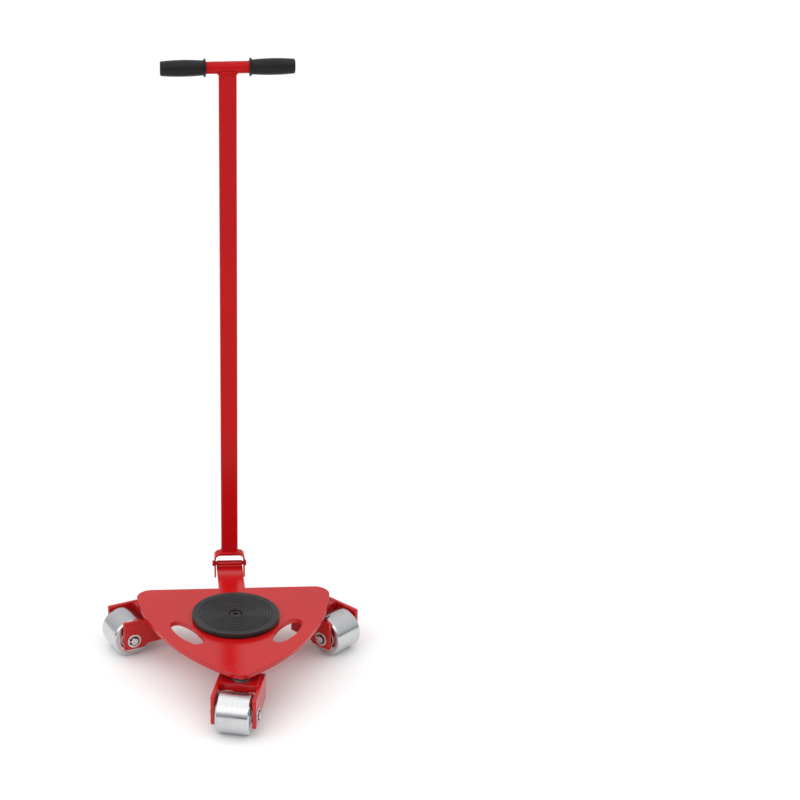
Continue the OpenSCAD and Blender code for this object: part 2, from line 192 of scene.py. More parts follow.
def closed(s):
    """Joins points that coincide, drops faces that lose their area, and turns the shell outward.
    The signed volume is a sixth of the sum of a . (b x c) over all triangles."""
    _, first, where = np.unique(np.round(s["v"] / 1e-7).astype(np.int64), axis=0,
                                return_index=True, return_inverse=True)
    where = where.ravel()
    c = where[s["q"]]
    same = np.stack([c[:, k] == c[:, (k + 1) % 4] for k in range(4)], 1)
    count = same.sum(1)
    tris = [where[s["t"]]]
    for k in range(4):
        rows = c[(count == 1) & same[:, k]]
        tris.append(rows[:, [k, (k + 2) % 4, (k + 3) % 4]])
    t = np.concatenate(tris)
    t = t[(t[:, 0] != t[:, 1]) & (t[:, 1] != t[:, 2]) & (t[:, 2] != t[:, 0])]
    out = {"v": s["v"][first], "q": c[count == 0], "t": t,
           "edge": s["edge"][first], "lay": s["lay"][first]}
    corners = np.concatenate([out["q"][:, [0, 1, 2]], out["q"][:, [0, 2, 3]], t])
    a, b, d = (out["v"][corners[:, k]] for k in range(3))
    if (a * np.cross(b, d)).sum() < 0:
        out["q"], out["t"] = out["q"][:, ::-1], out["t"][:, ::-1]
    return out


def grid_quads(rows, cols, ring):
    """Corner numbers of a grid's quads: (i, j), (i, j+1), (i+1, j+1), (i+1, j); columns close."""
    i, j = np.meshgrid(np.arange(rows if ring else rows - 1), np.arange(cols), indexing="ij")
    i2, j2 = (i + 1) % rows, (j + 1) % cols
    corners = [i * cols + j, i * cols + j2, i2 * cols + j2, i2 * cols + j]
    return np.stack(corners, -1).reshape(-1, 4)


def arc(cx, cy, r, start, end, count):
    """Points c + r (cos a, sin a) for count angles from start to end, in degrees."""
    a = np.radians(np.linspace(start, end, count))
    return np.stack([cx + r * np.cos(a), cy + r * np.sin(a)], 1)


def rounded(corners, radii, steps=3, ring=True):
    """A polygon with an arc at each corner, and which of its points lie on an arc.
    With a and b the unit vectors to the two neighbours and w the angle the path turns by,
    the arc starts r tan(w/2) from the corner, its centre is r / cos(w/2) away along a + b,
    and its points are the spherical blend of the two end radii. One more point stands
    before and after each arc, so the flats stay flat when they are shaded."""
    p = np.asarray(corners, float)
    r = np.broadcast_to(np.asarray(radii, float), (len(p),)).copy()
    to_a, to_b = np.roll(p, 1, 0) - p, np.roll(p, -1, 0) - p
    len_a, len_b = np.linalg.norm(to_a, axis=1), np.linalg.norm(to_b, axis=1)
    a, b = to_a / len_a[:, None], to_b / len_b[:, None]
    turn = math.pi - np.arccos(np.clip((a * b).sum(1), -1, 1))
    turn = np.maximum(turn, 1e-4)
    room = 0.42 * np.minimum(len_a, len_b)
    t = np.minimum(r * np.tan(turn / 2), room)
    r = np.maximum(t / np.tan(turn / 2), 1e-9)
    start, end = p + a * t[:, None], p + b * t[:, None]
    bis = (a + b) / np.maximum(np.linalg.norm(a + b, axis=1, keepdims=True), 1e-9)
    centre = p + bis * (r / np.cos(turn / 2))[:, None]
    s = np.linspace(0, 1, steps + 1)[None, :, None]
    w = turn[:, None, None]
    curve = (centre[:, None] + np.sin((1 - s) * w) / np.sin(w) * (start - centre)[:, None]
             + np.sin(s * w) / np.sin(w) * (end - centre)[:, None])
    guard = np.minimum(0.35 * t, 0.05 * np.minimum(len_a, len_b))[:, None]
    path = np.concatenate([(start + a * guard)[:, None], curve, (end + b * guard)[:, None]], 1)
    on_arc = np.zeros(path.shape[:2])
    on_arc[:, 1:-1] = 1
    if not ring:
        path[0], path[-1] = p[0], p[-1]
        on_arc[0] = on_arc[-1] = 0
    path, on_arc = path.reshape(-1, 2), on_arc.ravel()
    keep = np.linalg.norm(path - np.roll(path, -1, 0), axis=1) > 2e-8
    if not ring:
        keep[-1] = True
    return path[keep], on_arc[keep]


def lathe(corners, radii, count=64, steps=3, ring=True):
    """A profile of (radius, height) turned round Z: (r cos a, r sin a, z) for count angles a."""
    profile, edge = rounded(corners, radii, steps, ring)
    a = np.arange(count) * TURN / count
    r, z = profile[:, :1], profile[:, 1:]
    points = np.stack([r * np.cos(a), r * np.sin(a), z + 0 * a], -1)
    along = np.concatenate([[0], np.cumsum(np.linalg.norm(np.diff(profile, axis=0), axis=1))])
    wide = (len(profile), count)
    return closed(shell(points, grid_quads(len(profile), count, ring),
                        edge=np.broadcast_to(edge[:, None], wide),
                        lay=np.broadcast_to(along[:, None], wide)))


def stack(rows, ring=False, edge=None):
    """Loops of equal count joined upward: each row is (loop of (x, y), height or heights)."""
    count = len(rows[0][0])
    points = np.array([np.column_stack([loop, np.broadcast_to(z, (count,))]) for loop, z in rows])
    marks = np.zeros(len(rows)) if edge is None else np.asarray(edge, float)
    return closed(shell(points, grid_quads(len(rows), count, ring),
                        edge=np.broadcast_to(marks[:, None], (len(rows), count))))


def inset(loop, d):
    """A loop moved d to its left: each corner goes d (m + n) / (1 + m . n),
    with m and n the left normals of its two edges."""
    e = np.roll(loop, -1, 0) - loop
    e = e / np.linalg.norm(e, axis=1, keepdims=True)
    n = np.stack([-e[:, 1], e[:, 0]], 1)
    m = np.roll(n, 1, 0)
    return loop + d * (m + n) / (1 + (m * n).sum(1, keepdims=True))


def plate(loops, low, high, rim, steps=3):
    """A flat plate between two heights: first loop its outline, anticlockwise, the others holes,
    clockwise. Round its rim the loop goes in by rim (1 - sin a) while the height
    goes down by rim (1 - cos a), for a from 0 to 90 degrees."""
    a = np.linspace(0, math.pi / 2, steps + 1)
    goes_in, drops = rim * (1 - np.sin(a)), rim * (1 - np.cos(a))
    g = 0.4 * rim
    offset = np.concatenate([[rim + g], goes_in, [0, 0], goes_in[::-1], [rim + g]])
    height = np.concatenate([[high], high - drops, [high - rim - g, low + rim + g],
                             (low + drops)[::-1], [low]])
    mark = np.concatenate([[0], np.ones(steps + 1), [0, 0], np.ones(steps + 1), [0]])
    parts, top, bottom, tops, bottoms, at = [], [], [], [], [], 0
    for loop in loops:
        count = len(loop)
        points = np.array([np.column_stack([inset(loop, o), np.full(count, z)])
                           for o, z in zip(offset, height)])
        parts.append(shell(points, grid_quads(len(offset), count, False),
                           edge=np.broadcast_to(mark[:, None], (len(offset), count))))
        top.append([Vector((x, y, 0)) for x, y in points[0, :, :2].tolist()])
        bottom.append([Vector((x, y, 0)) for x, y in points[-1, :, :2].tolist()])
        tops.append(at + np.arange(count))
        bottoms.append(at + (len(offset) - 1) * count + np.arange(count))
        at += points.shape[0] * count
    body = joined(parts)

    def cap(outlines, numbers, up):
        """Triangles of a flat face with holes, all turned up or down."""
        t = np.concatenate(numbers)[np.array(tessellate_polygon(outlines))]
        p, q, r = (body["v"][t[:, k]] for k in range(3))
        upward = np.cross(q - p, r - p)[:, 2] > 0
        t[upward != up] = t[upward != up][:, ::-1]
        return t

    # the grid's quads run inward from the outline, so the caps are turned to agree with them
    first = body["q"][0]
    p, q, r = (body["v"][first[k]] for k in range(3))
    grid_up = np.cross(q - p, r - p)[2] > 0
    body["t"] = np.concatenate([cap(top, tops, grid_up), cap(bottom, bottoms, not grid_up)])
    return closed(body)


def bead(path, r, pitch, flat=1.0, count=12):
    """A weld bead: circles carried along a path. The radius is r (0.9 + 0.1 |cos(pi s / pitch)|)
    at the distance s, and closes as the square root of 1 - t^2 over the last radius of each end."""
    path = np.asarray(path, float)
    along = np.concatenate([[0], np.cumsum(np.linalg.norm(np.diff(path, axis=0), axis=1))])
    total = along[-1]
    s = np.linspace(0, total, max(8, int(total / pitch * 4)))
    p = np.stack([np.interp(s, along, path[:, k]) for k in range(3)], 1)
    t = np.gradient(p, axis=0)
    t /= np.linalg.norm(t, axis=1, keepdims=True)
    side = np.cross(t, np.where(np.abs(t[:, 2:]) > 0.8, [[0, 1.0, 0]], [[0, 0, 1.0]]))
    side /= np.linalg.norm(side, axis=1, keepdims=True)
    up = np.cross(side, t)
    end = np.clip(np.minimum(s, total - s) / r, 0, 1)
    size = r * (0.9 + 0.1 * np.abs(np.cos(math.pi * s / pitch))) * np.sqrt(1 - (1 - end) ** 2)
    a = np.arange(count) * TURN / count
    points = (p[:, None] + size[:, None, None]
              * (np.cos(a)[None, :, None] * side[:, None]
                 + flat * np.sin(a)[None, :, None] * up[:, None]))
    return closed(shell(points, grid_quads(len(s), count, False),
                        lay=np.broadcast_to(s[:, None], (len(s), count))))


def hex_angles():
    """Angles with a pair close round each corner of a hexagon, so its edges stay crisp."""
    near = np.array([-0.8, 0.8, 8, 16, 24, 30, 36, 44, 52])
    return np.radians((np.arange(6)[:, None] * 60 + near[None, :]).ravel())


def hex_radius(af, a):
    """Radius of a hexagon with width af across its flats: half af over cos of the angle from
    the nearest flat's middle."""
    return af / 2 / np.cos((a % (math.pi / 3)) - math.pi / 6)


def polar(r, a):
    """Points (r cos a, r sin a), with one radius or one for each angle."""
    r = np.broadcast_to(r, a.shape)
    return np.stack([r * np.cos(a), r * np.sin(a)], 1)


def hex_nut(af, thick, bore):
    """A hexagon with cone-chamfered corners and a bore: the chamfer drops by 0.55 of
    how far the hexagon lies outside the washer face."""
    a = hex_angles()
    hexagon = hex_radius(af, a)
    face = af / 2 * 0.94
    fall = (hexagon - face) * 0.55
    lip = 0.06 * af
    rows = [(polar(bore, a), lip), (polar(bore, a), thick - lip), (polar(bore + lip, a), thick),
            (polar(face, a), thick), (polar(hexagon, a), thick - fall),
            (polar(hexagon, a), fall), (polar(face, a), 0), (polar(bore + lip, a), 0)]
    return stack(rows, ring=True, edge=[0, 0, 1, 0, 1, 1, 0, 1])


# ---- pieces ----

def piece(name, shells, finish, body, nodes):
    """Puts shells into one mesh object with its finish and body, and hides the nodes it replaces.
    """
    s = joined(shells)
    mesh = bpy.data.meshes.new(name)
    loops = np.concatenate([s["q"].ravel(), s["t"].ravel()]).astype(np.int32)
    sizes = np.concatenate([np.full(len(s["q"]), 4), np.full(len(s["t"]), 3)]).astype(np.int32)
    mesh.vertices.add(len(s["v"]))
    mesh.vertices.foreach_set("co", s["v"].astype(np.float32).ravel())
    mesh.loops.add(len(loops))
    mesh.loops.foreach_set("vertex_index", loops)
    mesh.polygons.add(len(sizes))
    mesh.polygons.foreach_set("loop_start",
                              np.concatenate([[0], np.cumsum(sizes)[:-1]]).astype(np.int32))
    mesh.polygons.foreach_set("use_smooth", np.ones(len(sizes), bool))
    for key in ("edge", "lay"):
        mesh.attributes.new(key, "FLOAT", "POINT").data.foreach_set(
            "value", s[key].astype(np.float32))
    mesh.update(calc_edges=True)
    if mesh.validate():
        raise RuntimeError(name + ": the mesh had faults")
    mesh.set_sharp_from_angle(angle=math.radians(38))
    mesh.materials.append(finish)
    made = bpy.data.objects.new(name, mesh)
    bpy.context.scene.collection.objects.link(made)
    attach(made, body)
    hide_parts(*nodes)
    return made


def at(x=0.0, y=0.0, z=0.0):
    """A shift by (x, y, z)."""
    return Matrix.Translation((x, y, z))


ALONG_X = Matrix.Rotation(math.pi / 2, 4, "Y")
ALONG_Y = Matrix.Rotation(-math.pi / 2, 4, "X")
STANDING = Matrix.Rotation(math.pi / 2, 4, "X")


# ---- finishes ----

def begin(name):
    """A material with one principled shader, its node tree and that shader."""
    made = bpy.data.materials.new(name)
    made.use_nodes = True
    tree = made.node_tree
    tree.nodes.clear()
    shader = tree.nodes.new("ShaderNodeBsdfPrincipled")
    out = tree.nodes.new("ShaderNodeOutputMaterial")
    tree.links.new(shader.outputs[0], out.inputs[0])
    return made, tree, shader


def add(tree, kind, inputs=None, **settings):
    """A node with its settings, and each input a value or a link."""
    made = tree.nodes.new(kind)
    for key, value in settings.items():
        setattr(made, key, value)
    for key, value in (inputs or {}).items():
        if isinstance(value, bpy.types.NodeSocket):
            tree.links.new(value, made.inputs[key])
        else:
            made.inputs[key].default_value = value
    return made


def noise(tree, vector, scale, detail=3.0, rough=0.55):
    """Fractal noise, scale in waves a metre."""
    return add(tree, "ShaderNodeTexNoise", {"Vector": vector, "Scale": scale, "Detail": detail,
                                            "Roughness": rough}).outputs["Fac"]


def between(tree, value, low, high, to_low, to_high):
    """Maps a value's range to another, held at its ends."""
    return add(tree, "ShaderNodeMapRange",
               {"Value": value, "From Min": low, "From Max": high,
                "To Min": to_low, "To Max": to_high}).outputs["Result"]


def times(tree, a, b):
    """Product of two values."""
    return add(tree, "ShaderNodeMath", {0: a, 1: b}, operation="MULTIPLY").outputs[0]


def blend(tree, factor, a, b):
    """Mix of two colours."""
    return add(tree, "ShaderNodeMix", {0: factor, 6: a, 7: b}, data_type="RGBA").outputs[2]


def rgba(colour_in, gain=1.0):
    """A colour times a gain, held at 1, with alpha."""
    return tuple(min(1.0, c * gain) for c in colour_in) + (1.0,)


def bumps(tree, shader, layers):
    """Bump nodes one on another: (height, distance in metres, strength)."""
    normal = None
    for height, distance, strength in layers:
        inputs = {"Height": height, "Distance": distance, "Strength": strength}
        if normal is not None:
            inputs["Normal"] = normal
        normal = add(tree, "ShaderNodeBump", inputs).outputs["Normal"]
    tree.links.new(normal, shader.inputs["Normal"])


def coordinates(tree):
    """Object coordinates, and the edge and lay values of the mesh."""
    place = add(tree, "ShaderNodeTexCoord").outputs["Object"]
    edge = add(tree, "ShaderNodeAttribute", attribute_name="edge").outputs["Fac"]
    lay = add(tree, "ShaderNodeAttribute", attribute_name="lay").outputs["Fac"]
    return place, edge, lay


def red_paint(name, base, ior):
    """Stoved enamel: slow tone drift, orange peel, thinner and chipped on rims."""
    made, tree, shader = begin(name)
    place, edge, _ = coordinates(tree)
    drift = between(tree, noise(tree, place, 7.0), 0.35, 0.65, 0.0, 1.0)
    tone = blend(tree, drift, rgba(base, 0.96), rgba(base, 1.03))
    grime = between(tree, noise(tree, place, 38.0, 5.0), 0.62, 0.80, 0.0, 0.10)
    tone = blend(tree, grime, tone, rgba(base, 0.62))
    thin = times(tree, edge, between(tree, noise(tree, place, 90.0), 0.40, 0.62, 0.0, 0.55))
    tone = blend(tree, thin, tone, rgba(base, 0.66))
    chip = times(tree, edge, between(tree, noise(tree, place, 260.0, 4.0), 0.70, 0.72, 0.0, 0.9))
    tone = blend(tree, chip, tone, (0.10, 0.085, 0.08, 1.0))
    tree.links.new(tone, shader.inputs["Base Color"])
    gloss = between(tree, noise(tree, place, 55.0, 4.0), 0.3, 0.7, 0.15, 0.20)
    tree.links.new(gloss, shader.inputs["Roughness"])
    shader.inputs["IOR"].default_value = ior
    bumps(tree, shader, [(noise(tree, place, 45.0, 2.0), 0.0004, 0.05),
                         (noise(tree, place, 420.0, 2.0), 0.0002, 0.12)])
    return made


def ground_steel(base):
    """Turned and ground roller steel: rings along the profile, faint smudges, and a painted
    highlight on the rims.
    """
    made, tree, shader = begin("ground_roller_steel")
    place, edge, lay = coordinates(tree)
    rings = add(tree, "ShaderNodeTexNoise", {"W": times(tree, lay, 1700.0), "Scale": 1.0,
                                             "Detail": 3.0}, noise_dimensions="1D").outputs["Fac"]
    broad = add(tree, "ShaderNodeTexNoise", {"W": times(tree, lay, 210.0), "Scale": 1.0,
                                             "Detail": 2.0}, noise_dimensions="1D").outputs["Fac"]
    smudge = noise(tree, place, 30.0, 4.0)
    tone = blend(tree, between(tree, broad, 0.35, 0.65, 0.0, 1.0), rgba(base, 0.97),
                 rgba(base, 1.02))
    # painted highlight: the rounded rims are made brighter in the colour
    tone = blend(tree, times(tree, edge, 0.5), tone, rgba(base, 1.25))
    tone = blend(tree, between(tree, smudge, 0.55, 0.75, 0.0, 0.35), tone, rgba(base, 0.74))
    tree.links.new(tone, shader.inputs["Base Color"])
    shader.inputs["Metallic"].default_value = 1.0
    tree.links.new(between(tree, smudge, 0.3, 0.7, 0.16, 0.24), shader.inputs["Roughness"])
    bumps(tree, shader, [(rings, 0.00005, 0.15), (broad, 0.0001, 0.03)])
    return made


def plated_steel(name, base):
    """Plated or oiled steel: cool and warm drift, fine grain, and a painted highlight that makes
    the rims brighter.
    """
    made, tree, shader = begin(name)
    place, edge, lay = coordinates(tree)
    drift = between(tree, noise(tree, place, 40.0), 0.35, 0.65, 0.0, 1.0)
    tone = blend(tree, drift, rgba((base[0], base[1], base[2] * 1.06), 0.92),
                 rgba((base[0] * 1.03, base[1], base[2] * 0.93), 1.02))
    # painted highlight: the rounded rims are made brighter in the colour
    tone = blend(tree, times(tree, edge, 0.6), tone, rgba(base, 1.22))
    tree.links.new(tone, shader.inputs["Base Color"])
    shader.inputs["Metallic"].default_value = 1.0
    tree.links.new(between(tree, noise(tree, place, 300.0), 0.3, 0.7, 0.20, 0.36),
                   shader.inputs["Roughness"])
    rings = add(tree, "ShaderNodeTexNoise", {"W": times(tree, lay, 2600.0), "Scale": 1.0},
                noise_dimensions="1D").outputs["Fac"]
    bumps(tree, shader, [(rings, 0.0001, 0.25), (noise(tree, place, 900.0), 0.0001, 0.2)])
    return made


def black_steel(base):
    """Oiled black steel: patches of painted sheen, lighter and darker in the colour, and metal
    showing a little on rims.
    """
    made, tree, shader = begin("oiled_black_steel")
    place, edge, _ = coordinates(tree)
    # painted sheen: patches of the colour made lighter and darker
    tone = blend(tree, noise(tree, place, 60.0), rgba(base, 0.6), rgba(base, 1.5))
    worn = times(tree, edge, between(tree, noise(tree, place, 240.0), 0.45, 0.65, 0.0, 0.5))
    tone = blend(tree, worn, tone, (0.20, 0.19, 0.18, 1.0))
    tree.links.new(tone, shader.inputs["Base Color"])
    shader.inputs["Metallic"].default_value = 0.75
    tree.links.new(between(tree, noise(tree, place, 120.0), 0.3, 0.7, 0.28, 0.48),
                   shader.inputs["Roughness"])
    bumps(tree, shader, [(noise(tree, place, 700.0), 0.0001, 0.35)])
    return made


def rubber(name, base, rough, grain, shine):
    """Moulded rubber: dusty drift, fine pitted grain, and a painted highlight that makes the rims
    paler.
    """
    made, tree, shader = begin(name)
    place, edge, _ = coordinates(tree)
    dust = between(tree, noise(tree, place, 22.0, 5.0), 0.38, 0.70, 0.0, 1.0)
    tone = blend(tree, dust, rgba(base), rgba(base, 1.9))
    # painted highlight: the rounded rims are made paler in the colour
    tone = blend(tree, times(tree, edge, 0.40), tone, rgba(base, 3.2))
    tree.links.new(tone, shader.inputs["Base Color"])
    tree.links.new(between(tree, noise(tree, place, 70.0, 4.0), 0.3, 0.7, rough - 0.07,
                           rough + 0.07), shader.inputs["Roughness"])
    shader.inputs["Specular IOR Level"].default_value = shine
    bumps(tree, shader, [(noise(tree, place, 160.0), 0.0003, 0.18),
                         (noise(tree, place, grain, 2.0), 0.0002, 0.40)])
    return made


def bronze(base):
    """Bronze bearing metal with an oil stain and turning rings, and a painted highlight on the
    rims.
    """
    made, tree, shader = begin("bearing_bronze")
    place, edge, lay = coordinates(tree)
    tone = blend(tree, between(tree, noise(tree, place, 25.0), 0.35, 0.65, 0.0, 1.0),
                 rgba(base, 0.7), rgba(base))
    # painted highlight: the rounded rims are made brighter in the colour
    tone = blend(tree, times(tree, edge, 0.5), tone, rgba(base, 1.4))
    tree.links.new(tone, shader.inputs["Base Color"])
    shader.inputs["Metallic"].default_value = 1.0
    tree.links.new(between(tree, noise(tree, place, 90.0), 0.3, 0.7, 0.26, 0.42),
                   shader.inputs["Roughness"])
    rings = add(tree, "ShaderNodeTexNoise", {"W": times(tree, lay, 1500.0), "Scale": 1.0},
                noise_dimensions="1D").outputs["Fac"]
    bumps(tree, shader, [(rings, 0.0001, 0.3)])
    return made


def studio_floor(base):
    """Matt paper floor with a very faint tone drift."""
    made, tree, shader = begin("studio_paper")
    place = add(tree, "ShaderNodeTexCoord").outputs["Object"]
    tone = blend(tree, noise(tree, place, 0.8, 2.0), rgba(base, 0.985), rgba(base))
    tree.links.new(tone, shader.inputs["Base Color"])
    shader.inputs["Roughness"].default_value = 0.9
    shader.inputs["Specular IOR Level"].default_value = 0.1
    return made


FINISH_MAKERS = {
    "paint": lambda c: red_paint("red_gloss_paint", c.paint, 1.46),
    # painted shade: the handle's red is the deck red at 0.94 of its colour, a shaded copy of one
    # paint; its lower IOR makes it reflect less
    "tube_paint": lambda c: red_paint("red_handle_paint_shaded", [v * 0.94 for v in c.paint], 1.22),
    "roller": lambda c: ground_steel(c.roller),
    "bright": lambda c: plated_steel("zinc_plated_steel", c.bright),
    # painted shade: the bearings get the bright steel at 0.42 of its colour, a darker copy for
    # parts lying in shade
    "bearing": lambda c: plated_steel("bearing_steel_painted_darker_for_shade", [v * 0.42 for v in c.bright]),
    "black": lambda c: black_steel(c.black),
    "rubber": lambda c: rubber("ribbed_rubber", c.rubber, 0.50, 900.0, 0.45),
    "grip": lambda c: rubber("grip_rubber", [v * 0.5 for v in c.rubber], 0.42, 650.0, 0.22),
    "bronze": lambda c: bronze(c.bronze),
}
made_finishes = {}


def finish(name):
    """The finish of that name, made once from the scene's colours."""
    if name not in made_finishes:
        made_finishes[name] = FINISH_MAKERS[name](bpy.context.scene.skate_colours)
    return made_finishes[name]


# ---- shapes of the skate ----

def deck_outline(z):
    """Two bulged sides and three round corners. A side's arc is centred behind the far corner;
    it meets a corner where both have the same normal."""
    pin = float(-PINS["front"][1])
    half = pin * math.cos(math.radians(30))
    reach = z.side_r - z.corner_r
    back = math.sqrt(reach ** 2 - half ** 2) - pin / 2
    spread = math.degrees(math.asin(half / reach))
    left, right, front = (PINS[s][:2] for s in CASTERS)
    c30, s30 = math.cos(math.radians(30)) * back, math.sin(math.radians(30)) * back
    inner = slice(1, -1)
    return np.concatenate([
        arc(*left, z.corner_r, 90, 210 - spread, 24),
        arc(c30, s30, z.side_r, 210 - spread, 210 + spread, 48)[inner],
        arc(*front, z.corner_r, 210 + spread, 330 - spread, 20),
        arc(-c30, s30, z.side_r, 330 - spread, 330 + spread, 48)[inner],
        arc(*right, z.corner_r, 330 + spread, 450, 24),
    ])


def slot_outline(z, side):
    """A pointed oval, clockwise: two end circles joined by two long arcs that touch them."""
    end_r = z.slot_w * 0.34
    end_x = z.slot_l / 2 - end_r
    long_r = (end_x ** 2 + (z.slot_w / 2) ** 2 - end_r ** 2) / (z.slot_w - 2 * end_r)
    long_y = long_r - z.slot_w / 2
    lean = math.degrees(math.atan2(long_y, end_x))
    inner = slice(1, -1)
    loop = np.concatenate([
        arc(end_x, 0, end_r, -lean, lean, 20), arc(0, -long_y, long_r, lean, 180 - lean, 24)[inner],
        arc(-end_x, 0, end_r, 180 - lean, 180 + lean, 20),
        arc(0, long_y, long_r, 180 + lean, 360 - lean, 24)[inner]])
    a = math.radians(60 * side)
    turn = np.array([[math.cos(a), -math.sin(a)], [math.sin(a), math.cos(a)]])
    return (loop @ turn.T + [side * z.slot_x, -z.slot_y])[::-1]


def weld_cap(z0, r, thick):
    """A low weld puddle, ground almost flat: its radius wavers by a few hundredths."""
    a = np.arange(48) * TURN / 48
    waver = 1 + 0.035 * np.sin(3 * a + 1.0) + 0.025 * np.sin(5 * a) + 0.012 * np.sin(9 * a + 2)
    rows = [(polar(0.0, a), z0 - 0.002), (polar(r * 0.99 * waver, a), z0 - 0.002),
            (polar(r * waver, a), z0), (polar(r * 0.95 * waver, a), z0 + thick * 0.7),
            (polar(r * 0.80, a), z0 + thick), (polar(r * 0.45, a), z0 + thick * 0.8),
            (polar(0.0, a), z0 + thick * 0.9)]
    return stack(rows)


def race_ring(inner, outer, thick, groove_r, groove):
    """Bearing race, groove side up: a ring with a shallow round channel for the balls."""
    half = groove * 0.62
    return lathe([(inner, 0), (outer, 0), (outer, thick), (groove_r + half, thick),
                  (groove_r, thick - groove * 0.3), (groove_r - half, thick), (inner, thick)],
                 [0.0004, 0.0005, 0.0005, 0.0002, groove * 0.5, 0.0002, 0.0004])


def fork_ear(z):
    """Side plate in (x, height): long top part and a deeper nose round the axle hole."""
    top = low_high("fork_front")[1][2]
    low, nose = AXLE_Z - 0.019, TRAIL + 0.0215
    step, heel, rear = 0.007, TRAIL - 0.023, FORK_REAR
    loop, _ = rounded([(rear, low + step), (heel - step, low + step), (heel, low), (nose, low),
                       (nose, top), (rear, top)],
                      [0.0025, 0.005, 0.004, 0.003, 0.003, 0.0025], steps=4)
    hole = arc(TRAIL, AXLE_Z, AXLE_HOLE_R, 360, 9, 40)
    return plate([loop, hole], 0, z.ear_t, z.ear_rim)


def fork_shells(z):
    """Web, two ears and the weld beads that hold them, in caster space."""
    web_top = low_high("fork_front")[1][2] - 0.001
    web_low = web_top - z.web_t
    reach = TRAIL - math.sqrt((AXLE_Z + 0.003) ** 2 - (web_low - AXLE_Z) ** 2)
    loop, _ = rounded([(FORK_REAR, -z.ear_in), (reach, -z.ear_in), (reach, z.ear_in),
                       (FORK_REAR, z.ear_in)], 0.0012)
    parts = [plate([loop, arc(0, 0, RACE_BORE_R, 360, 9, 40)], web_low, web_top, z.ear_rim)]
    ear = fork_ear(z)
    for side in (-1, 1):
        y = z.ear_in if side < 0 else -z.ear_in - z.ear_t
        parts.append(moved(ear, STANDING @ at(z=y)))
        w = side * z.ear_in
        runs = [([(-0.0225, w - side * 0.0015, web_low - 0.0012),
                  (reach - 0.001, w - side * 0.0015, web_low - 0.0012)], 0.0042),
                ([(-0.0230, w - side * 0.0005, web_top),
                  (reach - 0.001, w - side * 0.0005, web_top)], 0.0016),
                ([(reach, w - side * 0.0006, web_low + 0.001),
                  (reach, w - side * 0.0006, web_top - 0.001)], 0.0020),
                ([(FORK_REAR, w - side * 0.0006, web_low + 0.001),
                  (FORK_REAR, w - side * 0.0006, web_top - 0.001)], 0.0020)]
        parts += [bead(path, r, z.bead_pitch) for path, r in runs]
    return parts


def axle_shell():
    """Pin with a chamfer, a centre drill mark and a circlip groove at each end."""
    low, high = low_high("axle_front")
    # the pin lies level, so its box gives the half length once its own radius is taken off
    swing = ROLLERS["front"] - PINS["front"]
    across = abs(swing[0]) / TRAIL
    half = (high[1] - low[1] - 2 * AXLE_R * abs(swing[1]) / TRAIL) / 2 / across
    end = [(0, half - 0.0016), (0.0019, half), (0.0067, half), (AXLE_R, half - 0.0008),
           (AXLE_R, 0.0471), (AXLE_GROOVE_R, 0.0471), (AXLE_GROOVE_R, 0.0459), (AXLE_R, 0.0459)]
    corners = [(r, -y) for r, y in end] + end[::-1]
    return lathe(corners, 0.00018, count=40, steps=2, ring=False)


def circlip_shell():
    """Spring ring: inside radius even, outside radius growing away from the gap as
    (1 - cos a) / 2, with a lug and its hole on each side of the gap."""
    gap, lug = math.radians(13), math.radians(24)
    a = np.linspace(gap, TURN - gap, 90)
    near = np.minimum(a, TURN - a)
    outer = 0.0093 + 0.0013 * (1 - np.cos(a)) / 2 + 0.0024 * np.exp(-((near - lug) / 0.20) ** 4)
    loop = np.concatenate([polar(outer, a), polar(0.00702, a)[::-1]])
    holes = [arc(0.0096 * math.cos(s * lug), 0.0096 * math.sin(s * lug), 0.0008, 360, 15, 16)
             for s in (-1, 1)]
    return plate([loop] + holes, 0, 0.0012, 0.00018, steps=2)


def roller_shell(z):
    """Steel barrel with broken edges, turned faces and a bearing seat at each end."""
    half, r, e = z.roller_l / 2, AXLE_Z, z.roller_edge
    end = [(0.013, half - BEARING_W), (0.016, half - BEARING_W), (0.016, half - 0.0006),
           (0.0166, half), (0.0225, half), (0.0232, half - 0.0007), (0.0318, half - 0.0007),
           (0.0325, half), (r - e, half), (r, half - e)]
    radii = [0.0004, 0.0004, 0.0002, 0.0002, 0.0003, 0.0003, 0.0003, 0.0003, 0.0011, 0.0011]
    corners = end + [(q, -y) for q, y in end[::-1]]
    return lathe(corners, radii + radii[::-1], count=128)


def bearing_shell():
    """Shielded ball bearing: two race rings with a sunk shield between them."""
    return lathe([(0.00755, 0), (0.016, 0), (0.016, BEARING_W), (0.0141, BEARING_W),
                  (0.0138, 0.0082), (0.0102, 0.0080), (0.0099, BEARING_W), (0.00755, BEARING_W)],
                 [0.0004, 0.0005, 0.0005, 0.0003, 0.0002, 0.0002, 0.0003, 0.0004])


def pad_shell(z):
    """Rubber disc with round grooves: each groove drops and rises over a quarter millimetre."""
    low, high = low_high("turntable_pad")
    bottom, top, recess = float(low[2]), float(high[2]), 0.014
    start, rim = recess + 0.003, 0.010
    pitch = (PAD_R - rim - start) / z.grooves
    wide = pitch * 0.42
    corners, radii = [(recess, bottom), (PAD_R, bottom), (PAD_R, top)], [0.0004, 0.0005, 0.0012]
    for k in range(z.grooves - 1, -1, -1):
        g = start + k * pitch
        corners += [(g + wide, top), (g + wide - 0.0003, top - z.groove_deep),
                    (g + 0.0003, top - z.groove_deep), (g, top)]
        radii += [0.00035, 0.0004, 0.0004, 0.00035]
    corners.append((recess, top))
    radii.append(0.0006)
    return lathe(corners, radii, count=144, steps=2)


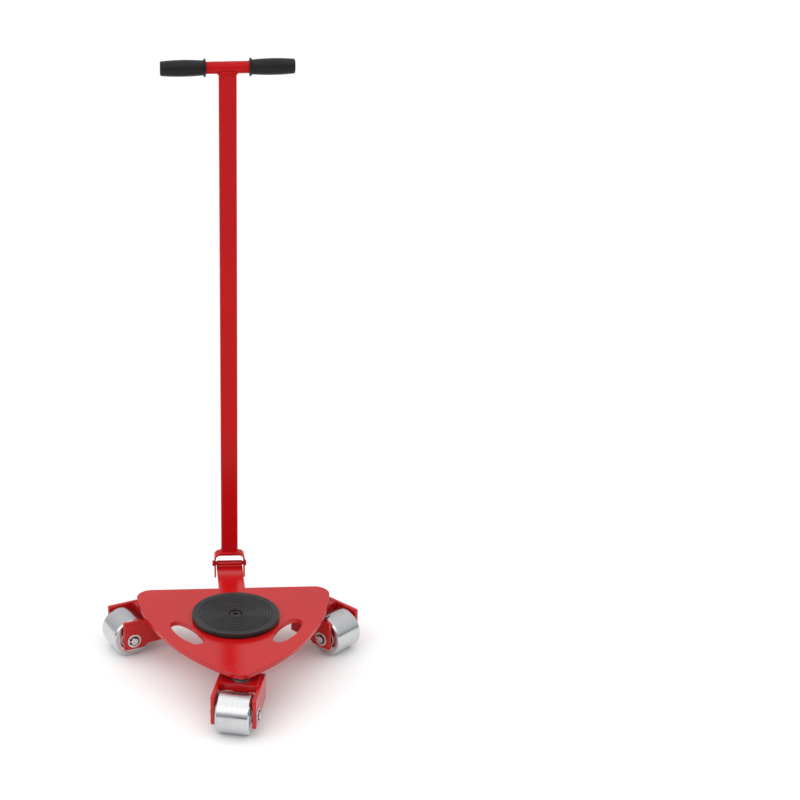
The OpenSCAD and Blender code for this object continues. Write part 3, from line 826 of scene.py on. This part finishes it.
def turntable_bolt_shell():
    """Shouldered bolt: thread, shoulder, round head and a hexagon socket with a drill cone."""
    low, high = low_high("turntable_bolt")
    deck, head = float(DECK_HIGH[2]), float(high[2]) - 0.0044
    top = float(high[2])
    a = hex_angles()
    socket = hex_radius(0.008, a)
    round_rows = [(0.0, low[2]), (0.0052, low[2]), (0.006, low[2] + 0.0008), (0.006, deck),
                  (0.008, deck), (0.008, head), (0.0113, head), (0.0115, head + 0.0002),
                  (0.0115, top - 0.0008), (0.0113, top - 0.0003), (0.0108, top), (0.0056, top)]
    rows = [(polar(r, a), y) for r, y in round_rows]
    rows += [(polar(socket, a), top - 0.0007), (polar(socket, a), top - 0.0034),
             (polar(0.0, a), top - 0.0043)]
    return stack(rows, edge=[0, 0, 1, 0, 0, 0, 0, 1, 1, 1, 1, 0, 1, 0, 0])


def strap_shell():
    """Flat tongue with rounded edges."""
    low, high = low_high("tongue_strap")
    loop, _ = rounded([(low[0], low[1]), (high[0], low[1]), (high[0], high[1]), (low[0], high[1])],
                      0.002)
    return plate([loop], float(low[2]), float(high[2]), 0.0011)


def yoke_shell(z):
    """Flat bar bent into an arch, drawn in (x, height) and 20 mm deep."""
    low, high = low_high("yoke")
    out, top, foot, t = float(high[0]), float(high[2]), float(low[2]), z.yoke_t
    loop, _ = rounded([(-out, foot), (-out + t, foot), (-out + t, top - t), (out - t, top - t),
                       (out - t, foot), (out, foot), (out, top), (-out, top)],
                      [0.0008, 0.0008, 0.0088, 0.0088, 0.0008, 0.0008, 0.012, 0.012], steps=8)
    s = plate([loop], -float(high[1]), -float(low[1]), 0.0007)
    return moved(s, STANDING)


def hinge_bolt_shell():
    """Hexagon head, shank and rounded thread end, along +X."""
    low, high = low_high("hinge_bolt")
    a = hex_angles()
    r = hex_radius(0.0122, a)
    face = 0.0061 * 0.94
    x0, x1, seat = float(low[0]), float(high[0]), float(low[0]) + 0.004
    rows = [(polar(0.0, a), x0 + 0.0003), (polar(face * 0.9, a), x0 + 0.0002), (polar(face, a), x0),
            (polar(r, a), x0 + (r - face) * 0.55), (polar(r, a), seat), (polar(0.004, a), seat),
            (polar(0.004, a), x1 - 0.0008), (polar(0.0033, a), x1), (polar(0.0, a), x1)]
    s = stack(rows, edge=[0, 0, 1, 1, 1, 0, 0, 1, 0])
    return moved(s, at(y=HINGE[1], z=HINGE[2]) @ ALONG_X)


def pole_loop(w, d, r):
    """A w by d rectangle round the origin with corners of radius r."""
    corners = [(-w / 2, -d / 2), (w / 2, -d / 2), (w / 2, d / 2), (-w / 2, d / 2)]
    return rounded(corners, r, steps=5)[0]


def pole_shell(z):
    """Rectangular tube whose top runs into the T bar: loops of a rounded rectangle from the
    bore's end down inside, round the foot and up outside."""
    low, high = low_high("pole")
    foot, top = float(low[2]), float(high[2])
    outer = pole_loop(z.pole_w, z.pole_d, z.pole_corner)
    bore = pole_loop(z.pole_w - 0.005, z.pole_d - 0.005, 0.0015)
    rows = [(bore * 0, top - 0.004), (bore, top - 0.004), (bore, foot + 0.0004),
            (inset(bore, -0.0004), foot), (inset(outer, 0.0005), foot), (outer, foot + 0.0005),
            (outer, foot + 0.002), (outer, top - 0.002), (outer, top), (outer * 0, top)]
    s = stack(rows, edge=[0, 0, 0, 1, 1, 0, 0, 0, 0, 0])
    return moved(s, at(y=BAR[1]))


def pole_beads(z):
    """Fillet beads between the T bar and the pole's top, and round the pole's foot.
    The top bead sags towards the corners as the square of the distance from the middle."""
    top, foot = float(low_high("pole")[1][2]), float(low_high("pole")[0][2])
    y0, z0, half, deep = float(BAR[1]), float(BAR[2]), z.pole_w / 2, z.pole_d / 2
    x = np.linspace(-half + 0.001, half - 0.001, 24)
    a = np.radians(np.linspace(-148, -32, 20))
    runs = []
    for side in (-1, 1):
        line = np.column_stack([x, np.full(24, y0 + side * (deep + 0.0002)),
                                top - 0.0012 - 0.0045 * (x / half) ** 2])
        ring = np.column_stack([np.full(20, side * (half - 0.0005)), y0 + 0.0118 * np.cos(a),
                                z0 + 0.0118 * np.sin(a)])
        runs += [(line, 0.0030), (ring, 0.0034),
                 ([(side * (half + 0.0004), y0 - deep, foot + 0.0006),
                   (side * (half + 0.0004), y0 + deep, foot + 0.0006)], 0.0030),
                 ([(-half - 0.001, y0 + side * (deep + 0.0004), foot + 0.0010),
                   (half + 0.001, y0 + side * (deep + 0.0004), foot + 0.0010)], 0.0040)]
    return [bead(path, r, z.bead_pitch) for path, r in runs]


def grip_shell():
    """Sleeve along +X: inner flange, swollen middle and a domed closed end."""
    low, high = low_high("grip_right")
    start, end, bar = float(low[0]), float(high[0]), BAR_R
    x = np.linspace(0, 1, 9)[1:-1]
    a, b = start + 0.0056, end - 0.003
    swell = 0.0144 + 0.0018 * np.sin(math.pi * x) ** 0.8
    sleeve = list(zip(swell, a + (b - a) * x))
    corners = ([(bar, start), (0.0150, start), (0.0182, start + 0.0017), (0.0182, start + 0.0038),
                (0.0150, start + 0.0053), (0.0146, start + 0.0066)] + sleeve
               + [(0.0143, end - 0.0018), (0.0124, end), (0, end), (0, end - 0.003),
                  (bar, end - 0.003)])
    radii = [0.0003, 0.0006, 0.0009, 0.0009, 0.0008, 0.001] + [0.004] * len(sleeve) + [
        0.0012, 0.0012, 0, 0, 0.0003]
    return lathe(corners, radii, count=72)


# ---- operators ----

class SKATE_OT_deck(bpy.types.Operator):
    """Painted deck plate with its two hand slots"""
    bl_idname = "skate.deck"
    bl_label = "Deck plate"
    bl_options = {"REGISTER", "UNDO"}

    def execute(self, context):
        z = context.scene.skate_sizes
        loops = [deck_outline(z), slot_outline(z, -1), slot_outline(z, 1)]
        loops += [arc(p[0], p[1], KINGPIN_R, 360, 9, 40) for p in PINS.values()]
        loops.append(arc(0, 0, 0.006, 360, 12, 30))
        low, high = float(DECK_LOW[2]), float(DECK_HIGH[2])
        piece("painted_deck", [plate(loops, low, high, z.deck_rim, 4)], finish("paint"), "deck",
              ["deck_plate"])
        return {"FINISHED"}


class SKATE_OT_kingpins(bpy.types.Operator):
    """Three kingpins, welded into the deck from above"""
    bl_idname = "skate.kingpins"
    bl_label = "Kingpins"
    bl_options = {"REGISTER", "UNDO"}

    def execute(self, context):
        top, low = float(DECK_HIGH[2]), float(low_high("kingpin_front")[0][2])
        shank = lathe([(0, low), (KINGPIN_R, low), (KINGPIN_R, top - 0.001), (0, top - 0.001)],
                      [0, 0.0009, 0.0002, 0], count=48, ring=False)
        for side in CASTERS:
            spot = at(PINS[side][0], PINS[side][1])
            piece("painted_kingpin_" + side,
                  [moved(shank, spot), moved(weld_cap(top, 0.0112, 0.0004), spot)],
                  finish("paint"), "deck", ["kingpin_" + side])
        return {"FINISHED"}


class SKATE_OT_swivels(bpy.types.Operator):
    """Thrust bearings, swivel nuts and collars of the casters"""
    bl_idname = "skate.swivels"
    bl_label = "Swivel bearings and nuts"
    bl_options = {"REGISTER", "UNDO"}

    def execute(self, context):
        race = race_ring(RACE_BORE_R, 0.020, 0.0042, BALL_CIRCLE_R, 0.0039)
        nut_low = float(low_high("swivel_nuts")[0][2])
        collar_low = float(low_high("swivel_collars")[0][2])
        nut = hex_nut(0.030, float(low_high("swivel_nuts")[1][2]) - nut_low, 0.010)
        collar = lathe([(0.010, 0), (0.0138, 0), (0.0138, nut_low - collar_low),
                        (0.010, nut_low - collar_low)], [0.0003, 0.0008, 0.0003, 0.0003], count=56)
        flip = Matrix.Rotation(math.pi, 4, "X")
        spots = [at(p[0], p[1]) for p in PINS.values()]
        piece("ground_upper_races",
              [moved(race, s @ at(z=float(DECK_LOW[2])) @ flip) for s in spots],
              finish("bearing"), "deck", ["upper_races"])
        piece("black_swivel_nuts",
              [moved(nut, s @ at(z=nut_low) @ Matrix.Rotation(math.radians(t), 4, "Z"))
               for s, t in zip(spots, (11, 34, 52))],
              finish("black"), "deck", ["swivel_nuts"])
        piece("bright_swivel_collars", [moved(collar, s @ at(z=collar_low)) for s in spots],
              finish("bright"), "deck", ["swivel_collars"])
        ball = lathe(arc(0, 0, BALL_R, -90, 90, 13), 0, count=20, steps=1, ring=False)
        cage = lathe([(0.0117, -0.0009), (0.0183, -0.0009), (0.0183, 0.0009), (0.0117, 0.0009)],
                     0.0004)
        for side in CASTERS:
            here = caster_frame(side)
            low = float(low_high("lower_race_" + side)[0][2])
            centre = float(middle("ball_cage_" + side)[2])
            piece("ground_lower_race_" + side, [moved(race, here @ at(z=low))],
                  finish("bearing"), "caster_" + side, ["lower_race_" + side])
            spots_round = [Matrix.Rotation(k * TURN / BALL_COUNT, 4, "Z") @ at(x=BALL_CIRCLE_R)
                           for k in range(BALL_COUNT)]
            piece("bearing_balls_" + side,
                  [moved(cage, here @ at(z=centre))]
                  + [moved(ball, here @ at(z=centre) @ spot) for spot in spots_round],
                  finish("bearing"), "caster_" + side, ["ball_cage_" + side])
        return {"FINISHED"}


class SKATE_OT_turntable(bpy.types.Operator):
    """Bolt, slip ring, steel disc and grooved rubber pad"""
    bl_idname = "skate.turntable"
    bl_label = "Turntable"
    bl_options = {"REGISTER", "UNDO"}

    def execute(self, context):
        z = context.scene.skate_sizes
        piece("socket_turntable_bolt", [turntable_bolt_shell()],
              finish("black"), "deck", ["turntable_bolt"])
        low, high = low_high("slip_ring")
        ring = lathe([(0.014, low[2]), (high[0], low[2]), (high[0], high[2]), (0.014, high[2])],
                     0.0003, count=96)
        piece("bronze_slip_ring", [ring], finish("bronze"), "deck", ["slip_ring"])
        low, high = low_high("turntable_disc")
        disc = lathe([(0.00805, low[2]), (PAD_R, low[2]), (PAD_R, high[2]), (0.00805, high[2])],
                     [0.0003, 0.0007, 0.0004, 0.0003], count=144)
        piece("black_turntable_disc", [disc], finish("black"), "turntable",
              ["turntable_disc"])
        piece("ribbed_rubber_pad", [pad_shell(z)], finish("rubber"), "turntable",
              ["turntable_pad"])
        return {"FINISHED"}


class SKATE_OT_tongue(bpy.types.Operator):
    """Tongue strap, its weld beads and the hinge tube"""
    bl_idname = "skate.tongue"
    bl_label = "Tongue"
    bl_options = {"REGISTER", "UNDO"}

    def execute(self, context):
        z = context.scene.skate_sizes
        low, high = low_high("tongue_strap")
        piece("painted_tongue_strap", [strap_shell()], finish("paint"), "deck",
              ["tongue_strap"])
        x, top = float(high[0]) - 0.001, float(high[2])
        back = float(DECK_HIGH[1])
        runs = [([(-x, back + 0.0012, top + 0.0012), (x, back + 0.0012, top + 0.0012)], 0.0036),
                ([(-x, low[1] - 0.001, top - 0.0014), (x, low[1] - 0.001, top - 0.0014)], 0.0036),
                ([(-x, HINGE[1] - 0.0052, top + 0.0012), (x, HINGE[1] - 0.0052, top + 0.0012)],
                 0.0028)]
        piece("tongue_weld_beads", [bead(path, r, z.bead_pitch) for path, r in runs],
              finish("paint"), "deck", ["tongue_weld"])
        low, high = low_high("hinge_tube")
        r, half = float(high[2] - low[2]) / 2, float(high[0])
        tube = lathe([(0.00405, -half), (r, -half), (r, half), (0.00405, half)],
                     [0.0003, 0.0006, 0.0006, 0.0003], count=48)
        piece("painted_hinge_tube", [moved(tube, at(y=HINGE[1], z=HINGE[2]) @ ALONG_X)],
              finish("paint"), "deck", ["hinge_tube"])
        return {"FINISHED"}


class SKATE_OT_forks(bpy.types.Operator):
    """Welded forks of the three casters"""
    bl_idname = "skate.forks"
    bl_label = "Forks"
    bl_options = {"REGISTER", "UNDO"}

    def execute(self, context):
        z = context.scene.skate_sizes
        parts = fork_shells(z)
        for side in CASTERS:
            here = caster_frame(side)
            piece("welded_fork_" + side, [moved(s, here) for s in parts], finish("paint"),
                  "caster_" + side, ["fork_" + side])
        return {"FINISHED"}


class SKATE_OT_axles(bpy.types.Operator):
    """Axle pins with their washers, circlips and spacers"""
    bl_idname = "skate.axles"
    bl_label = "Axles"
    bl_options = {"REGISTER", "UNDO"}

    def execute(self, context):
        z = context.scene.skate_sizes
        pin, clip = axle_shell(), circlip_shell()
        washer = lathe([(AXLE_HOLE_R, 0), (0.0146, 0), (0.0146, WASHER_T), (AXLE_HOLE_R, WASHER_T)],
                       [0.0002, 0.0004, 0.0006, 0.0002], count=56)
        seat = z.roller_l / 2 + 0.0001
        thick = z.ear_in - seat
        spacer = lathe([(AXLE_HOLE_R, 0), (0.0107, 0), (0.0107, thick), (AXLE_HOLE_R, thick)],
                       0.0002, count=40)
        out = z.ear_in + z.ear_t
        for side in CASTERS:
            axis = caster_frame(side) @ at(x=TRAIL, z=AXLE_Z)
            ends = [axis @ ALONG_Y, axis @ Matrix.Rotation(math.pi, 4, "Z") @ ALONG_Y]
            body = "caster_" + side
            piece("steel_axle_" + side, [moved(pin, ends[0])], finish("bright"), body,
                  ["axle_" + side])
            piece("bright_washers_" + side, [moved(washer, e @ at(z=out)) for e in ends],
                  finish("bright"), body, ["axle_washers_" + side])
            piece("spring_circlips_" + side, [moved(clip, e @ at(z=out + 0.0019)) for e in ends],
                  finish("black"), body, ["circlips_" + side])
            piece("steel_spacers_" + side, [moved(spacer, e @ at(z=seat)) for e in ends],
                  finish("bright"), body, ["spacers_" + side])
        return {"FINISHED"}


class SKATE_OT_rollers(bpy.types.Operator):
    """Steel rollers with their ball bearings"""
    bl_idname = "skate.rollers"
    bl_label = "Rollers"
    bl_options = {"REGISTER", "UNDO"}

    def execute(self, context):
        z = context.scene.skate_sizes
        barrel, bearing = roller_shell(z), bearing_shell()
        for side in CASTERS:
            axis = caster_frame(side) @ at(x=TRAIL, z=AXLE_Z)
            ends = [axis @ ALONG_Y, axis @ Matrix.Rotation(math.pi, 4, "Z") @ ALONG_Y]
            piece("ground_roller_" + side, [moved(barrel, ends[0])], finish("roller"),
                  "wheel_" + side, ["roller_" + side])
            seat = z.roller_l / 2 - BEARING_W
            piece("shielded_bearings_" + side, [moved(bearing, e @ at(z=seat)) for e in ends],
                  finish("bearing"), "wheel_" + side, ["roller_bearings_" + side])
        return {"FINISHED"}


class SKATE_OT_hinge(bpy.types.Operator):
    """Yoke, hinge bolt and nut at the foot of the handle"""
    bl_idname = "skate.hinge"
    bl_label = "Handle hinge"
    bl_options = {"REGISTER", "UNDO"}

    def execute(self, context):
        z = context.scene.skate_sizes
        piece("bent_yoke", [yoke_shell(z)], finish("tube_paint"), "handle", ["yoke"])
        piece("hexagon_hinge_bolt", [hinge_bolt_shell()], finish("tube_paint"), "handle",
              ["hinge_bolt"])
        low, high = low_high("hinge_nut")
        nut = hex_nut(0.0128, float(high[0] - low[0]), 0.004)
        piece("painted_hinge_nut",
              [moved(nut, at(x=float(low[0]), y=HINGE[1], z=HINGE[2]) @ ALONG_X)],
              finish("tube_paint"), "handle", ["hinge_nut"])
        return {"FINISHED"}


class SKATE_OT_handle(bpy.types.Operator):
    """Rectangular pole with its weld beads, and the T bar"""
    bl_idname = "skate.handle"
    bl_label = "Pole and T bar"
    bl_options = {"REGISTER", "UNDO"}

    def execute(self, context):
        z = context.scene.skate_sizes
        piece("painted_pole", [pole_shell(z)] + pole_beads(z), finish("tube_paint"), "handle",
              ["pole"])
        half = float(low_high("t_bar")[1][0])
        bar = lathe([(0.010, -half), (BAR_R, -half), (BAR_R, half), (0.010, half)], 0.0004,
                    count=64)
        piece("painted_t_bar", [moved(bar, at(y=BAR[1], z=BAR[2]) @ ALONG_X)], finish("tube_paint"),
              "handle", ["t_bar"])
        return {"FINISHED"}


class SKATE_OT_grips(bpy.types.Operator):
    """Rubber hand grips"""
    bl_idname = "skate.grips"
    bl_label = "Hand grips"
    bl_options = {"REGISTER", "UNDO"}

    def execute(self, context):
        sleeve = grip_shell()
        for side, turn in (("right", 0.0), ("left", math.pi)):
            place = at(y=BAR[1], z=BAR[2]) @ Matrix.Rotation(turn, 4, "Z") @ ALONG_X
            piece("rubber_grip_" + side, [moved(sleeve, place)], finish("grip"), "handle",
                  ["grip_" + side])
        return {"FINISHED"}


def soft_light(name, place, target, width, height, power):
    """A large area light aimed at a point."""
    data = bpy.data.lights.new(name, "AREA")
    data.shape = "RECTANGLE"
    data.size, data.size_y, data.energy = width, height, power
    lamp = bpy.data.objects.new(name, data)
    lamp.location = place
    lamp.rotation_euler = (Vector(target) - Vector(place)).to_track_quat("-Z", "Y").to_euler()
    bpy.context.scene.collection.objects.link(lamp)


class SKATE_OT_stage(bpy.types.Operator):
    """Pale floor, soft light and camera"""
    bl_idname = "skate.stage"
    bl_label = "Stage"

    def execute(self, context):
        scene = context.scene
        a = np.arange(64) * TURN / 64
        disc = stack([(polar(0.0, a), 0.0), (polar(60.0, a), 0.0), (polar(60.0, a), -0.02),
                      (polar(0.0, a), -0.02)])
        mesh = bpy.data.meshes.new("studio_floor")
        faces = disc["q"].tolist() + disc["t"].tolist()
        mesh.from_pydata(disc["v"].tolist(), [], faces)
        mesh.materials.append(studio_floor(scene.skate_colours.floor))
        floor = bpy.data.objects.new("studio_floor", mesh)
        scene.collection.objects.link(floor)

        world = bpy.data.worlds.new("studio")
        world.use_nodes = True
        tree = world.node_tree
        tree.nodes.clear()
        way = add(tree, "ShaderNodeTexCoord").outputs["Generated"]
        split = add(tree, "ShaderNodeSeparateXYZ", {0: way})
        rise, depth = split.outputs["Z"], split.outputs["Y"]
        tone = blend(tree, between(tree, rise, 0.0, 0.75, 0.0, 1.0), (0.62, 0.63, 0.65, 1.0),
                     (1.0, 1.0, 1.0, 1.0))
        # a dim room in front of the sweep, low over the horizon
        dim = times(tree, between(tree, rise, 0.06, 0.26, 1.0, 0.0),
                    between(tree, depth, -0.25, 0.15, 1.0, 0.0))
        tone = blend(tree, dim, tone, (0.10, 0.10, 0.11, 1.0))
        seen = add(tree, "ShaderNodeLightPath").outputs["Is Camera Ray"]
        tone = blend(tree, seen, tone, (1.0, 1.0, 1.0, 1.0))
        glow = add(tree, "ShaderNodeBackground", {"Color": tone, "Strength": 0.84})
        out = add(tree, "ShaderNodeOutputWorld")
        tree.links.new(glow.outputs[0], out.inputs[0])
        scene.world = world
        sky = bpy.data.lights.new("overhead_silk", "SUN")
        sky.energy, sky.angle = 1.15, math.radians(100)
        silk = bpy.data.objects.new("overhead_silk", sky)
        silk.rotation_euler = (math.radians(12), math.radians(-14), 0)
        scene.collection.objects.link(silk)
        soft_light("key_softbox", (-2.8, -2.6, 2.8), (0, 0, 0.4), 3.0, 3.0, 22.0)
        soft_light("fill_softbox", (3.0, -1.6, 2.4), (0, 0, 0.4), 2.6, 2.6, 10.0)

        data = bpy.data.cameras.new("camera")
        data.lens, data.sensor_width = 85.5, 36.0
        data.shift_x, data.shift_y = 0.2998, -0.0387
        data.clip_end = 200.0
        camera = bpy.data.objects.new("camera", data)
        pitch, yaw, roll = 0.37253, -0.01055, -0.01800
        camera.matrix_world = (at(-0.1792, -3.3873, 1.9723) @ Matrix.Rotation(yaw, 4, "Z")
                               @ Matrix.Rotation(math.pi / 2 - pitch, 4, "X")
                               @ Matrix.Rotation(roll, 4, "Z"))
        scene.collection.objects.link(camera)
        scene.camera = camera
        scene.view_settings.view_transform = "Standard"
        return {"FINISHED"}


OPERATORS = (SKATE_OT_stage, SKATE_OT_deck, SKATE_OT_kingpins, SKATE_OT_swivels,
             SKATE_OT_turntable, SKATE_OT_tongue, SKATE_OT_forks, SKATE_OT_axles,
             SKATE_OT_rollers, SKATE_OT_hinge, SKATE_OT_handle, SKATE_OT_grips)


class SKATE_PT_panel(bpy.types.Panel):
    """Buttons that build the skate and the sizes and colours they use"""
    bl_idname = "SKATE_PT_panel"
    bl_label = "Machinery skate"
    bl_space_type = "VIEW_3D"
    bl_region_type = "UI"
    bl_category = "Skate"

    def draw(self, context):
        column = self.layout.column(align=True)
        for operator in OPERATORS:
            column.operator(operator.bl_idname)
        for group in (context.scene.skate_sizes, context.scene.skate_colours):
            box = self.layout.box()
            for key in group.__annotations__:
                box.prop(group, key)


CLASSES = (SkateSizes, SkateColours) + OPERATORS + (SKATE_PT_panel,)


def register():
    for cls in CLASSES:
        bpy.utils.register_class(cls)
    bpy.types.Scene.skate_sizes = PointerProperty(type=SkateSizes)
    bpy.types.Scene.skate_colours = PointerProperty(type=SkateColours)


def unregister():
    del bpy.types.Scene.skate_colours
    del bpy.types.Scene.skate_sizes
    for cls in reversed(CLASSES):
        bpy.utils.unregister_class(cls)


def main():
    """Registers the add-on and builds every group in order."""
    register()
    for operator in OPERATORS:
        group, name = operator.bl_idname.split(".")
        if getattr(getattr(bpy.ops, group), name)() != {"FINISHED"}:
            raise RuntimeError(operator.bl_idname + " did not finish")
    bpy.context.view_layer.update()


if __name__ == "__main__":
    main()
